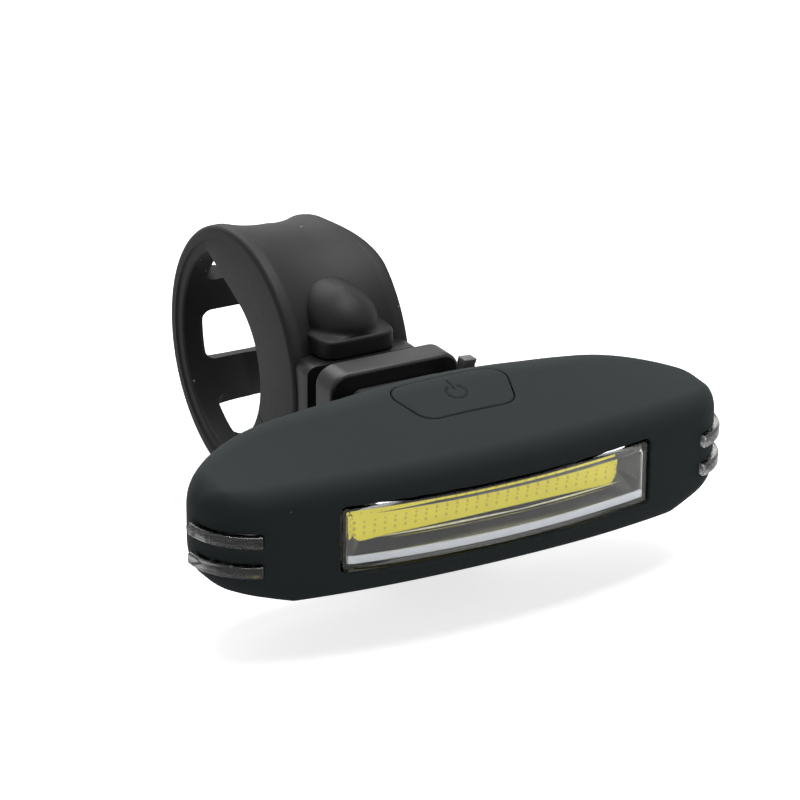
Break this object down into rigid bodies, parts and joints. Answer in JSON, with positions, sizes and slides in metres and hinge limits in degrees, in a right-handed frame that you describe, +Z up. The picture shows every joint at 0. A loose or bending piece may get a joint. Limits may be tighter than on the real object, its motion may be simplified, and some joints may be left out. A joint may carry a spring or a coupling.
{
  "type": "bike headlight",
  "caption": "Slim oval bicycle headlight with a bowed light strip lens, end windows, a top push button, a slide-on bracket and a rubber ladder strap for the handlebar.",
  "frame": {"origin": "on the handlebar's axis, halfway across the strap", "axes": "+X along the handlebar, -Y the way the beam leaves, +Z up"},
  "size_m": [0.0886, 0.088, 0.0423],
  "materials": {
    "soft_silicone": "matte dark grey silicone skin",
    "strap_rubber": "satin black rubber",
    "gloss_black": "glossy black nylon",
    "lever_plastic": "dark grey acetal",
    "case_plastic": "black moulded shell",
    "clear_plastic": "clear polycarbonate",
    "white_reflector": "bright moulded reflector",
    "yellow_phosphor": "yellow phosphor gel",
    "board_metal": "aluminium board",
    "board_green": "green circuit board",
    "chip_black": "black chips",
    "switch_body": "grey switch body",
    "steel": "zinc-plated steel",
    "cell_foil": "foil pouch",
    "foam": "black foam"
  },
  "bodies": {
    "bracket": {"strap": "strap_rubber", "mount_base": "gloss_black", "mount_block": "gloss_black", "bracket_screw": "steel", "lever_pin": "steel", "lever_spring": "steel"},
    "lever": {"release_lever": "lever_plastic"},
    "tail": {"strap_tail": "strap_rubber"},
    "head": {"silicone_cover": "soft_silicone", "upper_case": "case_plastic", "lower_case": "case_plastic", "case_screws": "steel", "front_lens": "clear_plastic", "reflector": "white_reflector", "light_board": "board_metal", "light_strip": "yellow_phosphor", "right_window": "clear_plastic", "left_window": "clear_plastic", "main_board": "board_green", "board_parts": "chip_black", "push_switch": "switch_body", "battery_cell": "cell_foil", "battery_pad": "foam", "usb_socket": "steel", "right_side_lights": "yellow_phosphor", "left_side_lights": "yellow_phosphor", "rail_shoe": "case_plastic", "shoe_screws": "steel"},
    "button": {"power_button": "soft_silicone", "button_plunger": "case_plastic", "switch_stem": "switch_body"},
    "socket_flap": {"usb_cover": "soft_silicone"}
  },
  "joints": [
    {"name": "head_slide", "type": "slide", "parent": "bracket", "child": "head", "axis": [0, 0, 1], "range_m": [0, 0.022]},
    {"name": "button_press", "type": "slide", "parent": "head", "child": "button", "axis": [0, 0.1392, -0.9903], "range_m": [0, 0.0005], "stiffness_N_per_m": 400},
    {"name": "lever_pivot", "type": "hinge", "parent": "bracket", "child": "lever", "pos_m": [0.0106, -0.0403, -0.002], "axis": [0, -1, 0], "range_deg": [0, 8], "stiffness_Nm_per_rad": 0.02},
    {"name": "socket_flap_hinge", "type": "hinge", "parent": "head", "child": "socket_flap", "pos_m": [-0.019, -0.0424, 0.0042], "axis": [1, 0, 0], "range_deg": [0, 100], "stiffness_Nm_per_rad": 0.002},
    {"name": "tail_peel", "type": "hinge", "parent": "bracket", "child": "tail", "pos_m": [0, -0.00006, -0.0191], "axis": [1, 0, 0], "range_deg": [0, 50], "stiffness_Nm_per_rad": 0.05}
  ]
}
